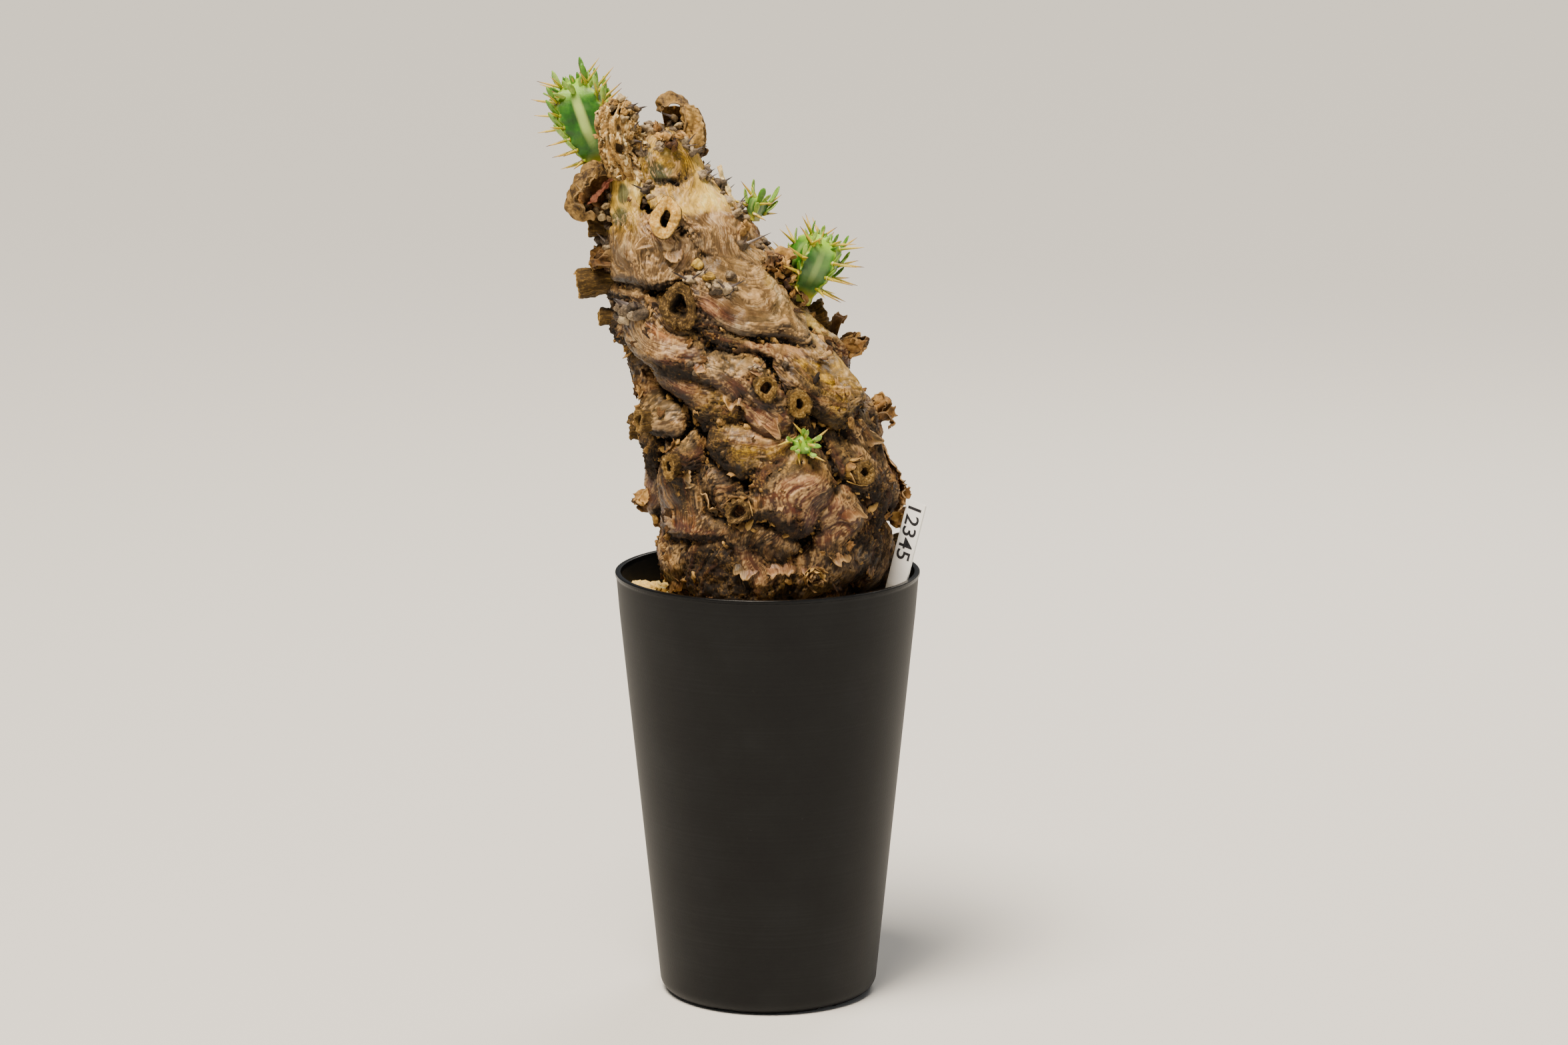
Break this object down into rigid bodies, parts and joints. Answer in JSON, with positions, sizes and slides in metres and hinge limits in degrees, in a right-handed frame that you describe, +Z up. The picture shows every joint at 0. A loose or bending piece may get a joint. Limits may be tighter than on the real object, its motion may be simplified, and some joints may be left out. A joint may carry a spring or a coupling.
{
  "type": "potted euphorbia mlanjeana",
  "caption": "Leaning, knobbly euphorbia caudex with green spiny shoots, dried shoots and branch stubs, in a tall tapered black pot of gravel with a plain plant label.",
  "frame": {"origin": "middle of the pot's base, on the surface it stands on", "axes": "+Z up along the pot; the caudex leans towards -X, and the side seen in the picture faces -Y"},
  "size_m": [0.1526, 0.12, 0.3709],
  "materials": {
    "pot": "matte charcoal-black moulded plastic with a glossier rim",
    "gravel": "cream and beige pumice grains",
    "bark": "weathered, wrinkled grey-brown bark with cream and ochre patches",
    "dried": "papery tan dead tissue",
    "green": "smooth waxy green skin with tan shields and olive spines",
    "label": "smooth white plastic strip"
  },
  "bodies": {
    "root": {"pot": "pot", "gravel": "gravel", "caudex": "bark", "dried_stump": "dried", "dried_curl": "dried", "dried_hood": "dried", "dried_sheath": "dried", "shoot_crown": "green", "shoot_shoulder": "green", "shoot_upper": "green", "shoot_front": "green", "label": "label"}
  },
  "joints": []
}
